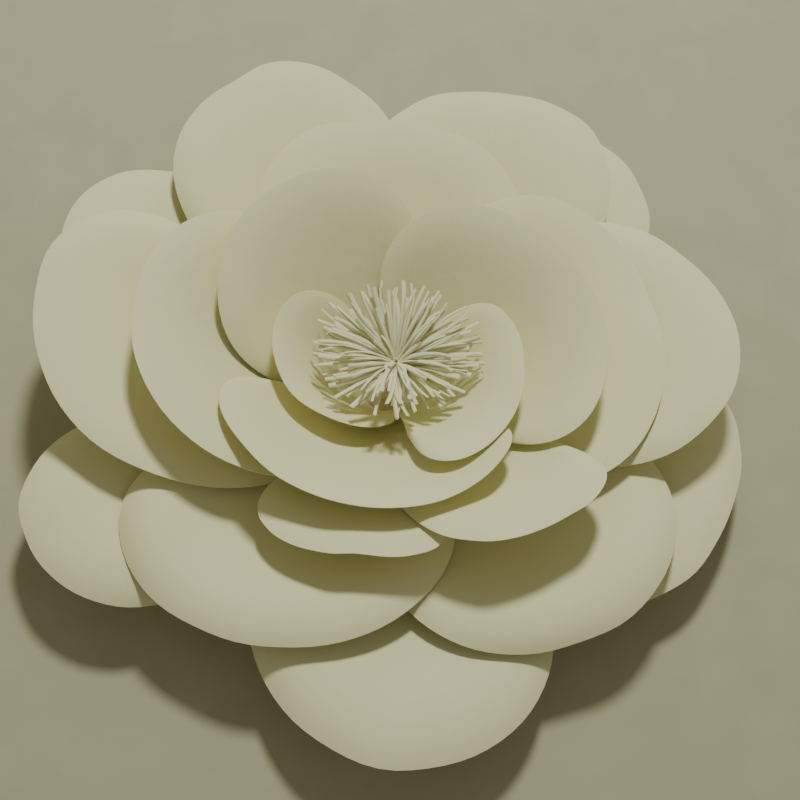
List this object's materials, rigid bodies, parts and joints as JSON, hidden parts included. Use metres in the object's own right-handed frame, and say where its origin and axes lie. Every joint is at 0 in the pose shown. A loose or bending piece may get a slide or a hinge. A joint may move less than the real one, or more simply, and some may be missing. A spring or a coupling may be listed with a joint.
{
  "type": "paper flower",
  "caption": "Large wall flower of layered, curled card petals in nested rings on a round backing disc, with a rolled and fringed paper centre.",
  "frame": {"origin": "centre of the backing disc's flat back face", "axes": "+Z out of the face of the flower, away from the wall or table it lies on; +Y towards the top of the flower as it hangs; +X to the right as it is seen from the front"},
  "size_m": [0.4081, 0.4357, 0.0983],
  "materials": {
    "ivory_card": "matte uncoated ivory card",
    "fringe_paper": "matte uncoated cream paper",
    "kraft_board": "matte kraft board"
  },
  "bodies": {
    "root": {"backing_disc": "kraft_board", "outer_petal_bottom": "ivory_card", "outer_petal_lower_left": "ivory_card", "outer_petal_upper_right": "ivory_card", "outer_petal_upper_left": "ivory_card", "outer_petal_lower_right": "ivory_card", "outer_petal_top": "ivory_card", "second_petal_upper_left": "ivory_card", "second_petal_lower_right": "ivory_card", "second_petal_lower_left": "ivory_card", "second_petal_upper_right": "ivory_card", "second_petal_left": "ivory_card", "second_petal_right": "ivory_card", "third_petal_top": "ivory_card", "third_petal_bottom": "ivory_card", "third_petal_right": "ivory_card", "third_petal_left": "ivory_card", "third_petal_lower_right": "ivory_card", "fourth_petal_bottom": "ivory_card", "fourth_petal_upper_left": "ivory_card", "fourth_petal_right": "ivory_card", "inner_petal_left": "ivory_card", "inner_petal_right": "ivory_card", "fringe_centre": "fringe_paper"}
  },
  "joints": []
}
